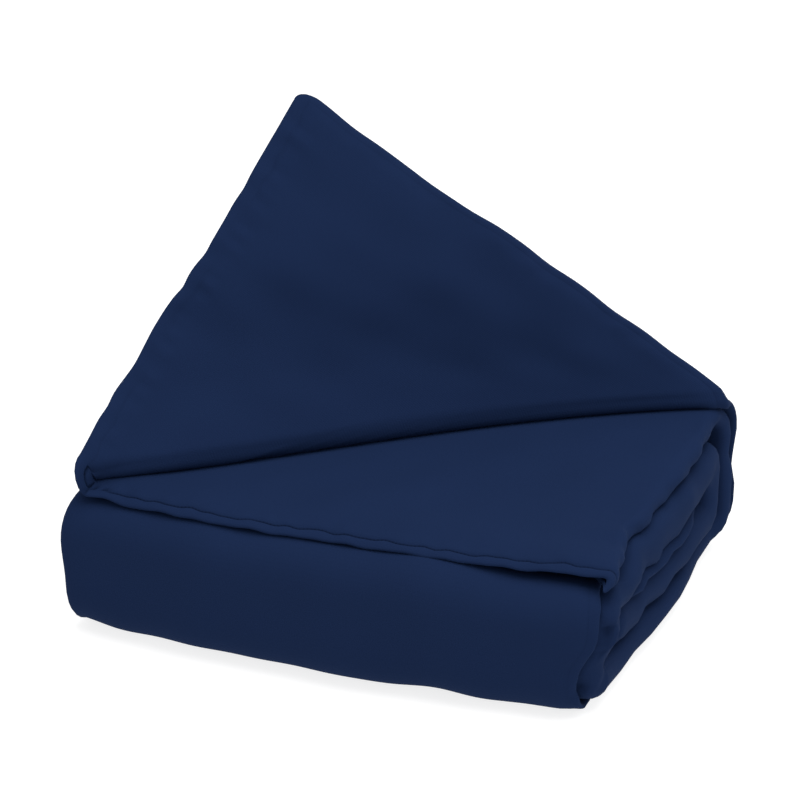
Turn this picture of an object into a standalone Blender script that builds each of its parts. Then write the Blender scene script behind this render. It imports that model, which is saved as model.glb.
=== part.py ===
"""Weighted blanket, folded into a stack, with one corner of its top layer turned up.

The blanket is one padded cloth. It is pleated across its width into four layers (a "bundle"),
and the bundle is rolled up front to back in four passes: over the top, down the back, along
the floor, up the front and back inside. Layer 1 is always on the outside of the roll, so it
is also the smooth front face. Its corner on the top pass stands up along a slanting crease.

Units are millimetres in the tables and functions, and metres in the mesh. +X runs to the
right along the front fold, +Y to the back, +Z up.
"""

from math import pi

import bpy
import numpy as np

METRES_PER_MM = 0.001

# The cloth.
CLOTH_THICKNESS = 8.0
LAYER_PITCH = 9.0
HALF_BUNDLE = 2.0 * LAYER_PITCH
LAYER_1_OFFSET = 1.5 * LAYER_PITCH

# Edge: a thin flange, a stitched groove, then the full padding. (distance in, thickness)
HEM_PROFILE = ((0.0, 0.0), (2.0, 4.6), (8.0, 3.6), (18.0, CLOTH_THICKNESS))
HEM_LINES = (0.0, 2.0, 8.0, 18.0)
LAYER_WIDTH = 450.0

# The roll, seen from the right side. It starts at the front hem of the top pass and turns
# clockwise, and each row is a straight run and then a turn.
HEM_Y = 12.0
TOP_PASS_Z = 7.0 * HALF_BUNDLE
ROLL = (
    # name, run, turn radius, turn
    ("top pass", 300.0, 24.0, pi / 2),
    ("back", 60.0, 24.0, pi / 2),
    ("bottom pass", 268.0, 26.0, pi / 2),
    ("front", 27.0, 19.0, pi / 2),
    ("second pass", 243.0, 18.0, pi),
    ("third pass", 228.0, 0.0, 0.0),
)

# The pleats. For places along the roll: where the free edges of layers 1 and 4 end, how far
# the fold between layers 2 and 3 reaches, how far it puffs outward and inward of the middle
# of the bundle, and where the left-hand folds end.
PLEAT_COLUMNS = ("place", "edge_1", "edge_4", "reach", "out", "in", "left")
PLEATS = (
    (("top pass", 0.0), 450.0, 412.0, 457.0, 4.5, -4.5, 1.0),
    (("top pass", 0.28), 451.0, 412.0, 444.0, 4.5, -4.5, 1.0),
    (("top pass", 0.45), 458.0, 412.0, 449.0, 4.5, -4.5, 1.0),
    (("top pass", 0.75), 456.0, 412.0, 456.0, 4.5, -4.5, 0.0),
    (("top pass", 1.0), 459.0, 412.0, 452.0, 4.5, -4.5, 0.0),
    (("back", 0.0), 460.0, 425.0, 458.0, 4.5, -4.5, -2.0),
    (("back", 1.0), 460.0, 425.0, 461.0, 4.5, -7.0, -2.0),
    (("bottom pass", 0.0), 440.0, 412.0, 450.0, 4.5, -13.5, 0.0),
    (("bottom pass", 0.4), 438.0, 410.0, 456.0, 4.5, -13.5, -1.0),
    (("bottom pass", 0.65), 434.0, 405.0, 451.0, 4.5, -13.5, -3.0),
    (("bottom pass", 0.85), 430.0, 400.0, 447.0, 4.5, -17.0, -4.0),
    (("front", 0.0), 434.0, 400.0, 445.0, 4.5, -20.0, -9.0),
    (("front", 1.0), 448.0, 420.0, 460.0, 4.5, -16.0, -12.0),
    (("second pass", 0.05), 440.0, 436.0, 456.0, 6.0, -7.0, -4.0),
    (("second pass", 0.3), 405.0, 448.0, 450.0, 20.0, -4.5, 0.0),
    (("second pass", 0.7), 405.0, 458.0, 456.0, 22.0, -4.5, 0.0),
    (("second pass", 0.98), 405.0, 450.0, 458.0, 22.0, -4.5, 0.0),
    (("second pass", 1.06), 405.0, 440.0, 458.0, 31.0, -4.5, 0.0),
    (("second pass", 1.14), 405.0, 425.0, 456.0, 22.0, -4.5, 0.0),
    (("third pass", 0.1), 415.0, 412.0, 459.0, 13.5, -13.5, 1.0),
    (("third pass", 0.35), 415.0, 412.0, 457.0, 13.5, -13.5, 0.0),
    (("third pass", 0.7), 415.0, 412.0, 450.0, 13.5, -13.5, 0.0),
    (("third pass", 1.0), 415.0, 412.0, 450.0, 13.5, -13.5, 0.0),
)
PUFF_RUN = 34.0

# The front fold is fuller than the layers behind it and lifts the second pass.
FRONT_LIFT = 17.0
FRONT_LIFT_RIGHT = 8.0
LIFT_SIDE = (330.0, 385.0)
LIFT_BACK = (35.0, 78.0)
LIFT_ALONG = (("front", -0.6), ("front", 1.6))
THIRD_PASS_LIFT = 6.0
THIRD_PASS_LIFT_BACK = (60.0, 120.0)
EASE_BEFORE, EASE_AFTER = 25.0, 1.0

# Layer 2's front hem sinks a little away from layer 1's, but less near either end.
HEM_DROOP = 7.0
HEM_DROOP_RUN = 40.0
DROOP_LEFT = (0.0, 60.0)
DROOP_RIGHT = (360.0, 450.0)
DROOP_LOST_RIGHT = 1.0
DROOP_ALONG = (200.0, 286.0)

# The front fold bows forward in the middle of its width.
FRONT_BOW = 18.0
BOW_DEPTH = 260.0
BOW_CENTRE = 200.0
BOW_HALF_WIDTH = 250.0
BOW_TOP = (140.0, 200.0)

# Near the left end of the front hem the thin edges of layers 1 and 2 lie closer together.
HEM_PINCH = 2.2
HEM_PINCH_RUN = 30.0
HEM_PINCH_SIDE = (20.0, 90.0)

# Layer 1's front hem: the corner's radius, how far it lies back, and where it is drawn in more.
CORNER_RADIUS = 14.0
HEM_SETBACK = 2.5
HEM_DRAWN_IN = 4.0
DRAWN_IN_SIDE = (40.0, 170.0, 330.0)
HEM_CURVE_DEPTH = 60.0

# Under the top layers, the front hem of layers 3 and 4 stays back from the front.
INNER_HEM_RECESS = 75.0
INNER_HEM_SIDE = (385.0, 450.0)

# The turned-up corner: the crease line on the top layer, the bend and the peak.
CREASE_LEFT = (0.0, 34.0)
CREASE_RIGHT = (466.0, 318.0)
BEND_RADIUS = 9.0
PEAK = (104.0, 240.0, 411.0)
BENT_LAST = ("back", 0.5)

# The crease isn't straight: it bows back past its middle, by this much at most.
CREASE_BOW = 28.0
CREASE_BOW_ALONG = (-0.05, 0.6, 1.35)
CREASE_BOW_FADE = (0.0, 180.0)

# The top layers lie higher towards the back right.
BACK_RISE = 9.0
BACK_RISE_SIDE = (150.0, 430.0)
BACK_RISE_DEPTH = (110.0, 310.0)
BACK_RISE_ALONG = (325.0, 400.0)

# Mesh lines across the roll on the top pass: where each line lies along the roll at the left
# fold, at the free edge of layer 1 and on the other layers. They follow the crease.
TOP_LINES = (
    # at the left fold, at the free edge, elsewhere
    (0.0, 0.0, 0.0),
    (1.5, 2.0, 2.0),
    (3.0, 8.0, 8.0),
    (4.5, 18.0, 18.0),
    (6.0, 95.0, 45.0),
    (7.0, 190.0, 80.0),
    (8.0, 284.0, 110.0),
    (11.5, 288.5, 135.0),
    (15.0, 293.0, 160.0),
    (18.5, 297.5, 185.0),
    (22.0, 302.0, 210.0),
    (25.5, 306.0, 240.0),
    (90.0, 310.0, 270.0),
    (190.0, 314.0, 285.0),
    (300.0, 318.0, 300.0),
    (309.4, 322.0, 309.4),
    (318.9, 326.5, 318.9),
    (328.3, 332.0, 328.3),
)
FAN_WIDTH = 120.0
TOP_MIDDLE = 100.0
TURN_STEPS = {"back": 4, "bottom pass": 4, "front": 4, "second pass": 7}
RUN_STEPS = {"back": 2, "bottom pass": 3, "front": 1, "second pass": 6, "third pass": 3}

# Mesh lines along the roll, as fractions of each piece of the pleat.
PLEAT_LINES = (
    ("layer 1", (0.18, 0.36, 0.54, 0.7, 0.84, 0.93, 1.0)),
    ("fold 1-2", (0.2, 0.4, 0.6, 0.8)),
    ("layer 2", (0.0, 0.08, 0.25, 0.5, 0.75, 0.9, 0.935, 0.965, 1.0)),
    ("fold 2-3", (0.2, 0.4, 0.6, 0.8)),
    ("layer 3", (0.0, 0.035, 0.07, 0.12, 0.2, 0.5, 1.0)),
    ("fold 3-4", (0.25, 0.5, 0.75)),
    ("layer 4", (0.0, 0.4, 0.8)),
)

# Short steps along and across the cloth, for its normals.
NORMAL_STEP = 0.05
NORMAL_FRACTION = 0.001

CLOTH_COLOUR = (0.0116, 0.0232, 0.0742, 1.0)
CLOTH_ROUGHNESS = 0.95


def smooth(value, start, end):
    """0 before start, 1 past end, and a soft S between them."""
    part = np.clip((value - start) / (end - start), 0.0, 1.0)
    return part * part * (3.0 - 2.0 * part)


def hump(value, start, middle, end):
    """0 at start and end, 1 in the middle, and soft between them."""
    return smooth(value, start, middle) * (1.0 - smooth(value, middle, end))


def roll_stations():
    """For each row of ROLL: the length, point and heading at its start."""
    stations = {}
    length, y, z, heading = 0.0, HEM_Y, TOP_PASS_Z, 0.0
    for name, run, radius, turn in ROLL:
        stations[name] = (length, y, z, heading, run, radius, turn)
        y += run * np.cos(heading)
        z += run * np.sin(heading)
        centre_y = y + radius * np.sin(heading)
        centre_z = z - radius * np.cos(heading)
        heading -= turn
        y = centre_y - radius * np.sin(heading)
        z = centre_z + radius * np.cos(heading)
        length += run + radius * turn
    return stations, length


STATIONS, ROLL_LENGTH = roll_stations()


def along(place):
    """The length along the roll at a place: a row of ROLL and a fraction of its run."""
    name, fraction = place
    start = STATIONS[name]
    return start[0] + fraction * start[4]


def roll_point(length):
    """Point on the middle of the bundle, and the outward direction there."""
    y = np.zeros_like(length)
    z = np.zeros_like(length)
    heading = np.zeros_like(length)
    for start, y0, z0, heading0, run, radius, turn in STATIONS.values():
        here = (length >= start) | (start == 0.0)
        ahead = length - start
        straight = np.minimum(ahead, run)
        angle = np.clip((ahead - run) / radius, 0.0, turn) if radius else 0.0 * ahead
        y1 = y0 + straight * np.cos(heading0) + radius * np.sin(heading0)
        z1 = z0 + straight * np.sin(heading0) - radius * np.cos(heading0)
        new_heading = heading0 - angle
        y = np.where(here, y1 - radius * np.sin(new_heading), y)
        z = np.where(here, z1 + radius * np.cos(new_heading), z)
        heading = np.where(here, new_heading, heading)
    return y, z, -np.sin(heading), np.cos(heading)


def pleat_value(column, length):
    """A column of PLEATS at a length along the roll, eased from row to row."""
    index = PLEAT_COLUMNS.index(column)
    places = [along(row[0]) for row in PLEATS]
    values = [row[index] for row in PLEATS]
    result = np.full_like(length, values[0])
    for k in range(len(PLEATS) - 1):
        step = smooth(length, places[k], places[k + 1])
        result = result + (values[k + 1] - values[k]) * step
    return result


def pleat_point(piece, t, length):
    """Sideways place and offset from the bundle's middle, on one piece of the pleat."""
    fold = LAYER_PITCH / 2
    left = pleat_value("left", length) + fold + CLOTH_THICKNESS / 2
    out = pleat_value("out", length)
    inward = pleat_value("in", length)
    radius = (out - inward) / 2
    middle = (out + inward) / 2
    right = pleat_value("reach", length) - radius - CLOTH_THICKNESS / 2
    if piece == "layer 1":
        edge = pleat_value("edge_1", length)
        return edge + (left - edge) * t, LAYER_1_OFFSET + 0.0 * length
    if piece == "fold 1-2":
        return left - fold * np.sin(pi * t), 2 * fold + fold * np.cos(pi * t)
    if piece == "layer 2":
        x = left + (right - left) * t
        return x, fold + (out - fold) * smooth(x, right - PUFF_RUN, right)
    if piece == "fold 2-3":
        return right + radius * np.sin(pi * t), middle + radius * np.cos(pi * t)
    if piece == "layer 3":
        x = right + (left - right) * t
        return x, -fold + (inward + fold) * smooth(x, right - PUFF_RUN, right)
    if piece == "fold 3-4":
        return left - fold * np.sin(pi * t), -2 * fold + fold * np.cos(pi * t)
    edge = pleat_value("edge_4", length)
    return left + (edge - left) * t, -3 * fold + 0.0 * length


def inner_hem(piece, x):
    """How far back the front hem of an inner layer starts."""
    if piece == "layer 3":
        return INNER_HEM_RECESS * (1.0 - smooth(x, *INNER_HEM_SIDE))
    if piece in ("fold 3-4", "layer 4"):
        return INNER_HEM_RECESS + 0.0 * x
    return 0.0 * x


def front_lift(x, y, length):
    """Height that the full front fold adds to the front of the second and third pass."""
    most = FRONT_LIFT + (FRONT_LIFT_RIGHT - FRONT_LIFT) * smooth(x, *LIFT_SIDE)
    rise = smooth(length, *map(along, LIFT_ALONG))
    second = most * rise * (1.0 - smooth(y, *LIFT_BACK) * smooth(length, *span("second pass")))
    third = THIRD_PASS_LIFT * (1.0 - smooth(y, *THIRD_PASS_LIFT_BACK))
    share = smooth(length, *span("third pass"))
    on_top = smooth(length, *span("front"))
    return (second * (1.0 - share) + third * share) * on_top


def bow(x, y):
    """Forward shift of the front of the stack, fading out towards the back."""
    across = np.clip((x - BOW_CENTRE) / BOW_HALF_WIDTH, -1.0, 1.0)
    return FRONT_BOW * (1.0 - across**2) * (1.0 - smooth(y, 0.0, BOW_DEPTH))


def round_corner(x, length):
    """Rounds the corner of layer 1 at the front hem."""
    edge = pleat_value("edge_1", length)
    side = np.clip((CORNER_RADIUS - (edge - x)) / CORNER_RADIUS, 0.0, 1.0)
    front = np.clip((CORNER_RADIUS - length) / CORNER_RADIUS, 0.0, 1.0)
    pull_side = CORNER_RADIUS * side * (1.0 - np.sqrt(1.0 - front**2 / 2))
    pull_front = CORNER_RADIUS * front * (1.0 - np.sqrt(1.0 - side**2 / 2))
    return pull_side, pull_front


def hem_curve(x, length):
    """How far layer 1's front hem lies back at a place along it, fading out into the cloth."""
    fade = 1.0 - smooth(length, 0.0, HEM_CURVE_DEPTH)
    return (HEM_SETBACK + HEM_DRAWN_IN * hump(x, *DRAWN_IN_SIDE)) * fade


def span(name):
    """A short stretch about the start of a row of ROLL, for easing from one to the next."""
    start = STATIONS[name][0]
    return start - EASE_BEFORE, start + EASE_AFTER


def crease_frame():
    """Start, direction and front-right normal of the crease line, seen from above."""
    start = np.array(CREASE_LEFT)
    run = np.array(CREASE_RIGHT) - start
    run /= np.linalg.norm(run)
    return start, run, np.array((run[1], -run[0]))


def crease_bow(s):
    """How far back of its straight line the crease lies, at a distance along it."""
    whole = np.hypot(CREASE_RIGHT[0] - CREASE_LEFT[0], CREASE_RIGHT[1] - CREASE_LEFT[1])
    return CREASE_BOW * hump(s / whole, *CREASE_BOW_ALONG)


def back_rise(piece, x, y, length):
    """Height of the top layers above level. A place on the flap rises with the crease below it."""
    start, _, ahead = crease_frame()
    past = (x - start[0]) * ahead[0] + (y - start[1]) * ahead[1]
    past = np.maximum(past, 0.0) * (piece == "layer 1")
    rise = smooth(x - past * ahead[0], *BACK_RISE_SIDE)
    rise = rise * smooth(y - past * ahead[1], *BACK_RISE_DEPTH)
    return BACK_RISE * rise * (1.0 - smooth(length, *BACK_RISE_ALONG))


def turn_up_corner(x, y, z, weight):
    """Bends layer 1 up along the crease, and leans the flap so that its corner is the peak."""
    start, run, ahead = crease_frame()
    base_z = TOP_PASS_Z + LAYER_1_OFFSET
    corner = np.array((PLEATS[0][1], HEM_Y)) - start
    peak = np.array(PEAK[:2]) - start
    peak_out = peak @ ahead
    peak_up = PEAK[2] - base_z - BEND_RADIUS
    flap_height = np.sqrt(peak_out**2 + peak_up**2 - BEND_RADIUS**2)
    angle = np.arctan2(peak_up, peak_out) + np.arctan2(BEND_RADIUS, flap_height)
    flat_height = corner @ ahead - BEND_RADIUS * angle
    stretch = flap_height / flat_height
    lean = (peak @ run - corner @ run) / flat_height

    s = (x - start[0]) * run[0] + (y - start[1]) * run[1]
    d = (x - start[0]) * ahead[0] + (y - start[1]) * ahead[1]
    back = crease_bow(s)
    d = d + back
    h = z - base_z
    turned = angle * weight
    theta = np.minimum(np.maximum(d, 0.0) / BEND_RADIUS, turned)
    past = np.maximum(d - BEND_RADIUS * turned, 0.0)
    straight = smooth(past, *CREASE_BOW_FADE)
    past = past - back * straight
    reach = BEND_RADIUS - h
    grow = 1.0 + (stretch - 1.0) * weight
    out = reach * np.sin(theta) + grow * past * np.cos(theta) + np.minimum(d, 0.0)
    up = BEND_RADIUS - reach * np.cos(theta) + grow * past * np.sin(theta)
    s = s + lean * past * weight
    out = out - back * (1.0 - straight)
    return (
        start[0] + s * run[0] + out * ahead[0],
        start[1] + s * run[1] + out * ahead[1],
        base_z + up,
    )


def cloth_point(piece, t, length):
    """A point of the cloth's middle surface, for arrays t and length."""
    x, offset = pleat_point(piece, t, length)
    if piece == "layer 1":
        pull_side, pull_front = round_corner(x, length)
        length = length + pull_front + hem_curve(x, length)
        x = x - pull_side
    if piece == "fold 1-2":
        length = length + hem_curve(x, length) * (1.0 - smooth(t, 0.0, 1.0))
    pinch = HEM_PINCH * (1.0 - smooth(length, 0.0, HEM_PINCH_RUN))
    pinch = pinch * (1.0 - smooth(x, *HEM_PINCH_SIDE))
    offset = offset - pinch * (offset + LAYER_PITCH) / LAYER_PITCH * (offset > -LAYER_PITCH)
    y, z, out_y, out_z = roll_point(length)
    y = y + offset * out_y
    z = z + offset * out_z
    z = z + front_lift(x, y, length)
    on_top = 1.0 - smooth(length, *DROOP_ALONG)
    if piece in ("layer 2", "fold 2-3", "fold 1-2"):
        droop = HEM_DROOP * (1.0 - smooth(y, HEM_Y, HEM_Y + HEM_DROOP_RUN))
        ends = smooth(x, *DROOP_LEFT) * (1.0 - DROOP_LOST_RIGHT * smooth(x, *DROOP_RIGHT))
        z = z - droop * on_top * ends
    level_x, level_y = x, y
    if piece in ("layer 1", "fold 1-2"):
        weight = (1.0 - smooth(t, 0.0, 1.0)) if piece == "fold 1-2" else 1.0 + 0.0 * t
        bent = turn_up_corner(x, y, z, weight)
        top = length < along(BENT_LAST)
        x, y, z = (np.where(top, new, old) for new, old in zip(bent, (x, y, z)))
    z = z + back_rise(piece, level_x, level_y, length)
    y = y - bow(x, y) * (1.0 - smooth(z, *BOW_TOP))
    return np.stack((x, y, z), axis=-1)


def roll_lines():
    """Lengths of the mesh lines past the top pass's own lines, to the last hem."""
    lines = []
    for name, run, radius, turn in ROLL[1:]:
        start = STATIONS[name][0]
        steps = RUN_STEPS[name]
        lines += [start + run * k / steps for k in range(steps)]
        if radius:
            steps = TURN_STEPS[name]
            lines += [start + run + radius * turn * k / steps for k in range(steps)]
    return lines + [ROLL_LENGTH - inset for inset in reversed(HEM_LINES)]


def line_lengths(piece, x, lines):
    """Length along the roll of every mesh line at a sideways place on a piece."""
    top = np.array(TOP_LINES)
    at_left, at_edge, elsewhere = top.T
    if piece == "layer 1":
        share = (x / PLEATS[0][1])[:, None]
        first = at_left + (at_edge - at_left) * share
    elif piece == "fold 1-2":
        first = at_left + 0.0 * x[:, None]
    elif piece == "layer 2":
        first = at_left + (elsewhere - at_left) * smooth(x, 0.0, FAN_WIDTH)[:, None]
    else:
        hem = inner_hem(piece, x)[:, None]
        last = STATIONS["top pass"][4]
        squeeze = np.where(elsewhere < last, 1.0 - elsewhere / last, 0.0)
        first = elsewhere + hem * squeeze
    rest = np.array(lines) + 0.0 * x[:, None]
    return np.concatenate((first, rest), axis=1)


def hem_thickness(distance):
    inset, thick = np.array(HEM_PROFILE).T
    return np.interp(distance, inset, thick)


def pleat_rows():
    """Every mesh line along the roll, as a piece of the pleat and a fraction of it."""
    insets = [inset / LAYER_WIDTH for inset in HEM_LINES]
    for piece, fractions in PLEAT_LINES:
        if piece == "layer 1":
            fractions = (*insets, *fractions)
        if piece == "layer 4":
            fractions = (*fractions, *(1.0 - inset for inset in reversed(insets)))
        for fraction in fractions:
            yield piece, fraction


def edge_distance(piece, x, length):
    """Distance from a point of the cloth to its nearest stitched edge."""
    ends = np.minimum(length - inner_hem(piece, x[:1]), ROLL_LENGTH - length)
    if piece == "layer 1":
        return np.minimum(ends, pleat_value("edge_1", length) - x)
    if piece == "layer 4":
        return np.minimum(ends, pleat_value("edge_4", length) - x)
    return ends


def cloth_grid():
    """Middle surface, normals and thickness on the whole grid of mesh lines."""
    later_lines = roll_lines()
    points, normals, thickness = [], [], []
    for piece, fraction in pleat_rows():
        x_start = pleat_point(piece, fraction, np.array([TOP_MIDDLE]))[0]
        length = line_lengths(piece, x_start, later_lines)[0]
        t = np.full_like(length, fraction)
        x = pleat_point(piece, t, length)[0]
        points.append(cloth_point(piece, t, length))
        normals.append(normal_at(piece, t, length))
        thickness.append(hem_thickness(edge_distance(piece, x, length)))
    return np.array(points), np.array(normals), np.array(thickness)


def normal_at(piece, t, length):
    """Unit normal of the middle surface, from short steps along and across the cloth."""
    low_t, high_t = np.clip(t - NORMAL_FRACTION, 0, 1), np.clip(t + NORMAL_FRACTION, 0, 1)
    low_l = np.maximum(length - NORMAL_STEP, 0.0)
    high_l = np.minimum(length + NORMAL_STEP, ROLL_LENGTH)
    across = cloth_point(piece, high_t, length) - cloth_point(piece, low_t, length)
    forward = cloth_point(piece, t, high_l) - cloth_point(piece, t, low_l)
    normal = np.cross(across, forward)
    return normal / np.linalg.norm(normal, axis=-1, keepdims=True)


def blanket_mesh():
    """Closed mesh: both faces of the cloth, sharing the vertices of its outer edge."""
    points, normals, thickness = cloth_grid()
    upper = points + normals * thickness[..., None] / 2
    lower = points - normals * thickness[..., None] / 2
    rows, columns = thickness.shape
    upper_index = np.arange(rows * columns).reshape(rows, columns)
    lower_index = upper_index + rows * columns
    edge = np.zeros((rows, columns), bool)
    edge[[0, -1], :] = True
    edge[:, [0, -1]] = True
    lower_index = np.where(edge, upper_index, lower_index)
    vertices = np.concatenate((upper.reshape(-1, 3), lower.reshape(-1, 3)))
    faces = []
    for i in range(rows - 1):
        for j in range(columns - 1):
            ring = ((i, j), (i + 1, j), (i + 1, j + 1), (i, j + 1))
            faces.append([upper_index[k] for k in ring])
            faces.append([lower_index[k] for k in reversed(ring)])
    used = np.unique(np.array(faces))
    remap = np.full(len(vertices), -1)
    remap[used] = np.arange(len(used))
    faces = remap[np.array(faces)]
    return vertices[used], faces


def cloth_material():
    material = bpy.data.materials.new("cover_fabric")
    material.use_nodes = True
    shader = material.node_tree.nodes["Principled BSDF"]
    shader.inputs["Base Color"].default_value = CLOTH_COLOUR
    shader.inputs["Roughness"].default_value = CLOTH_ROUGHNESS
    shader.inputs["Metallic"].default_value = 0.0
    return material


def stand_on_origin(vertices):
    """Moves the stack so that the origin is under the middle of its box, on the floor."""
    low, high = vertices.min(axis=0), vertices.max(axis=0)
    shift = np.array(((low[0] + high[0]) / 2, (low[1] + high[1]) / 2, low[2]))
    return vertices - shift


def main():
    for old in list(bpy.data.objects):
        bpy.data.objects.remove(old)
    vertices, faces = blanket_mesh()
    vertices = stand_on_origin(vertices) * METRES_PER_MM
    mesh = bpy.data.meshes.new("blanket")
    mesh.from_pydata(vertices.tolist(), [], faces.tolist())
    mesh.validate()
    mesh.materials.append(cloth_material())
    mesh.shade_smooth()
    blanket = bpy.data.objects.new("blanket", mesh)
    bpy.context.scene.collection.objects.link(blanket)


main()
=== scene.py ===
"""The look of the folded weighted blanket with one corner turned up.

The blanket's cloth is one fine mesh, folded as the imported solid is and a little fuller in
places, with its stitched hem, puckers, soft unevenness, tucks and crumpled right side. Tables
and functions are in millimetres on the stack's own axes: x from the left folds, y from the
front hem, z from the floor. Meshes, lights and camera are in metres in the frame's axes.
"""

from math import pi, radians

import bpy
import numpy as np
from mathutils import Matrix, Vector


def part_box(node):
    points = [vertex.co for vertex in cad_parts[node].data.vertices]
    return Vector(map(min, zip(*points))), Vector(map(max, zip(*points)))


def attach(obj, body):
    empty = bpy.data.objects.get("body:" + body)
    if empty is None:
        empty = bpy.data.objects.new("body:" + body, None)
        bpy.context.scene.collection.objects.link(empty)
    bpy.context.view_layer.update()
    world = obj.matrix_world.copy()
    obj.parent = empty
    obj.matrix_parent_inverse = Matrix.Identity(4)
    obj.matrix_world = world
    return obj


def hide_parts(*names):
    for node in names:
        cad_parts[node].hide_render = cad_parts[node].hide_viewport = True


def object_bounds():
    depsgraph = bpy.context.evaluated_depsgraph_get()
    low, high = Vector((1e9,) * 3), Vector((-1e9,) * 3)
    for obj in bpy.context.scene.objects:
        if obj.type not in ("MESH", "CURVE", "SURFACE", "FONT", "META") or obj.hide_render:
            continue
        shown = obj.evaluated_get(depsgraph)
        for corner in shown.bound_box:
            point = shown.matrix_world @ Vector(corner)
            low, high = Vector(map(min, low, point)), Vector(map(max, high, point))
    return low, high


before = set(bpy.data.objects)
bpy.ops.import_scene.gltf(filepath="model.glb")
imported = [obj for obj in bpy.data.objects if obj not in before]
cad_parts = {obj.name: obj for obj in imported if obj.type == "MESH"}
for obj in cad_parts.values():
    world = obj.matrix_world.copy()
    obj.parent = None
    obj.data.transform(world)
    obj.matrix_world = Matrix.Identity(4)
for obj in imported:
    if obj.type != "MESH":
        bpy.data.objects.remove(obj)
CAD_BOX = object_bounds()

METRES_PER_MM = 0.001

# The cloth.
CLOTH_THICKNESS = 8.0
LAYER_PITCH = 9.0
HALF_BUNDLE = 2.0 * LAYER_PITCH
LAYER_1_OFFSET = 1.5 * LAYER_PITCH

# Edge: a soft rolled flange, a stitched groove, then the full padding. The groove hardly shows
# on layer 1's inner face and on layer 4.
HEM_PROFILE = (
    # distance in, thickness, thickness where the groove hardly shows
    (0.0, 0.0, 0.0),
    (0.5, 2.4, 2.4),
    (2.0, 4.3, 4.2),
    (4.5, 5.0, 5.2),
    (7.0, 4.3, 5.5),
    (8.0, 2.1, 5.4),
    (9.0, 4.5, 5.9),
    (12.5, 6.8, 7.0),
    (18.0, CLOTH_THICKNESS, CLOTH_THICKNESS),
)
HEM_LINES = tuple(row[0] for row in HEM_PROFILE)
SEAM_INSET = 8.0

# A place belongs to the side's seam where it is nearer the side than a hem by more than this.
SIDE_MARGIN = 0.01

# Width given to each layer on the flat cloth, for its mesh lines and its weave.
LAYER_WIDTH = 450.0

# Where the edge is drawn in by its stitching: along the roll, at layer 1's free edge and at the
# fold between layers 2 and 3, and along layer 1's front hem.
EDGE_TUCKS = (
    # place along the roll, half width, depth at the free edge, depth at the fold
    (39.0, 16.0, 1.8, 0.0),
    (119.0, 16.0, 1.8, 0.0),
    (174.0, 14.0, 2.0, 0.0),
    (223.0, 14.0, 2.2, 0.0),
    (263.0, 12.0, 1.6, 0.0),
    (357.0, 6.0, 3.0, 3.5),
)
HEM_TUCKS = (
    # place along the hem, half width, depth
    (60.0, 10.0, 0.8),
    (110.0, 30.0, 2.4),
    (205.0, 10.0, 1.3),
    (250.0, 12.0, 1.0),
    (330.0, 12.0, 0.7),
)

# The roll, seen from the right side. It starts at the front hem of the top pass and turns
# clockwise, and each row is a straight run and then a turn.
HEM_Y = 12.0
TOP_PASS_Z = 7.0 * HALF_BUNDLE
ROLL = (
    # name, run, turn radius, turn
    ("top pass", 300.0, 24.0, pi / 2),
    ("back", 60.0, 24.0, pi / 2),
    ("bottom pass", 268.0, 26.0, pi / 2),
    ("front", 27.0, 19.0, pi / 2),
    ("second pass", 243.0, 18.0, pi),
    ("third pass", 228.0, 0.0, 0.0),
)

# The pleats. For places along the roll: where the free edges of layers 1 and 4 end, how far
# the fold between layers 2 and 3 reaches, how far it puffs outward and inward of the middle
# of the bundle, and where the left-hand folds end.
PLEAT_COLUMNS = ("place", "edge_1", "edge_4", "reach", "out", "in", "left")
PLEATS = (
    (("top pass", 0.0), 450.0, 412.0, 457.0, 4.5, -4.5, 1.0),
    (("top pass", 0.28), 451.0, 412.0, 444.0, 4.5, -4.5, 1.0),
    (("top pass", 0.45), 458.0, 412.0, 449.0, 4.5, -4.5, 1.0),
    (("top pass", 0.75), 456.0, 412.0, 456.0, 4.5, -4.5, 0.0),
    (("top pass", 1.0), 459.0, 412.0, 452.0, 4.5, -4.5, 0.0),
    (("back", 0.0), 460.0, 425.0, 458.0, 4.5, -4.5, -2.0),
    (("back", 1.0), 460.0, 425.0, 461.0, 4.5, -7.0, -2.0),
    (("bottom pass", 0.0), 440.0, 412.0, 450.0, 4.5, -13.5, 0.0),
    (("bottom pass", 0.4), 438.0, 410.0, 456.0, 4.5, -13.5, -1.0),
    (("bottom pass", 0.65), 434.0, 405.0, 451.0, 4.5, -13.5, -3.0),
    (("bottom pass", 0.85), 430.0, 400.0, 447.0, 4.5, -17.0, -4.0),
    (("front", 0.0), 434.0, 400.0, 445.0, 4.5, -20.0, -9.0),
    (("front", 1.0), 448.0, 420.0, 460.0, 4.5, -16.0, -12.0),
    (("second pass", 0.05), 440.0, 436.0, 456.0, 6.0, -7.0, -4.0),
    (("second pass", 0.3), 405.0, 454.0, 454.0, 25.0, -6.0, 0.0),
    (("second pass", 0.7), 405.0, 461.0, 460.0, 26.5, -6.0, 0.0),
    (("second pass", 0.98), 405.0, 450.0, 459.0, 25.0, -4.5, 0.0),
    (("second pass", 1.06), 405.0, 440.0, 458.0, 31.0, -4.5, 0.0),
    (("second pass", 1.14), 405.0, 425.0, 456.0, 22.0, -4.5, 0.0),
    (("third pass", 0.1), 415.0, 412.0, 459.0, 13.5, -13.5, 1.0),
    (("third pass", 0.35), 415.0, 412.0, 457.0, 13.5, -13.5, 0.0),
    (("third pass", 0.7), 415.0, 412.0, 450.0, 13.5, -13.5, 0.0),
    (("third pass", 1.0), 415.0, 412.0, 450.0, 13.5, -13.5, 0.0),
)

# Over this width the layers beside a right-hand fold spread apart towards it.
PUFF_RUN = 34.0

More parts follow.
